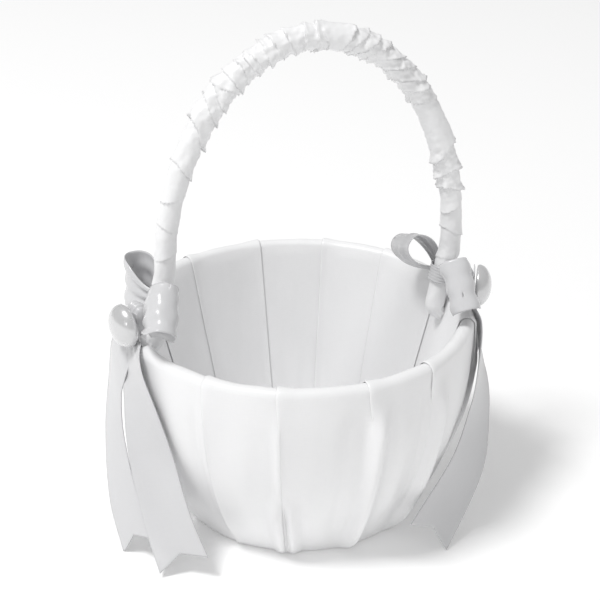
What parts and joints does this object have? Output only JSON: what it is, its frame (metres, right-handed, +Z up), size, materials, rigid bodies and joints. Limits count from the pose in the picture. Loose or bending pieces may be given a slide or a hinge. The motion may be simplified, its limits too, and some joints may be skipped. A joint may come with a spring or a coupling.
{
  "type": "flower girl basket",
  "caption": "Small padded satin basket with a flared round bowl, a tall ruched arch handle and a pearl bow with hanging ribbon tails at each side.",
  "frame": {"origin": "centre of the flat base, on the surface the basket stands on", "axes": "+Z up, X along the handle from the left bow to the right bow, -Y towards the front"},
  "size_m": [0.1668, 0.15, 0.2116],
  "materials": {
    "cover_satin": "white satin, soft sheen",
    "lining_satin": "white satin",
    "ribbon_satin": "white satin ribbon, glossier than the cover",
    "batting": "soft white polyester batting",
    "frame_wire": "plain steel wire",
    "card": "grey-brown cardboard",
    "tape": "white cloth tape",
    "pearl": "pearl lustre"
  },
  "bodies": {
    "basket": {"satin_cover": "cover_satin", "side_padding": "batting", "rim_hoop": "frame_wire", "waist_hoop": "frame_wire", "base_hoop": "frame_wire", "rib_1": "frame_wire", "rib_2": "frame_wire", "rib_3": "frame_wire", "rib_4": "frame_wire", "rib_5": "frame_wire", "rib_6": "frame_wire", "rib_7": "frame_wire", "rib_8": "frame_wire", "base_board": "card", "underside_cover": "lining_satin", "floor_pad": "lining_satin", "handle_wire": "frame_wire", "handle_padding": "batting", "handle_sleeve": "cover_satin", "left_wire_binding": "tape", "right_wire_binding": "tape", "left_tie": "ribbon_satin", "left_knot": "ribbon_satin", "left_pearl": "pearl", "left_front_loop": "ribbon_satin", "left_back_loop": "ribbon_satin", "right_tie": "ribbon_satin", "right_knot": "ribbon_satin", "right_pearl": "pearl", "right_front_loop": "ribbon_satin", "right_back_loop": "ribbon_satin"},
    "left_front_ribbon": {"left_front_tail": "ribbon_satin"},
    "left_back_ribbon": {"left_back_tail": "ribbon_satin"},
    "right_front_ribbon": {"right_front_tail": "ribbon_satin"},
    "right_back_ribbon": {"right_back_tail": "ribbon_satin"}
  },
  "joints": [
    {"name": "left_front_swing", "type": "hinge", "parent": "basket", "child": "left_front_ribbon", "pos_m": [-0.07298, -0.01547, 0.0891], "axis": [-0.4695, 0.8829, 0], "range_deg": [0, 60]},
    {"name": "left_back_swing", "type": "hinge", "parent": "basket", "child": "left_back_ribbon", "pos_m": [-0.07528, -0.01037, 0.0891], "axis": [-0.1736, 0.9848, 0], "range_deg": [0, 60]},
    {"name": "right_front_swing", "type": "hinge", "parent": "basket", "child": "right_front_ribbon", "pos_m": [0.07298, -0.01547, 0.0891], "axis": [-0.6691, -0.7431, 0], "range_deg": [0, 60]},
    {"name": "right_back_swing", "type": "hinge", "parent": "basket", "child": "right_back_ribbon", "pos_m": [0.07528, -0.01037, 0.0891], "axis": [0.0872, -0.9962, 0], "range_deg": [0, 60]}
  ]
}
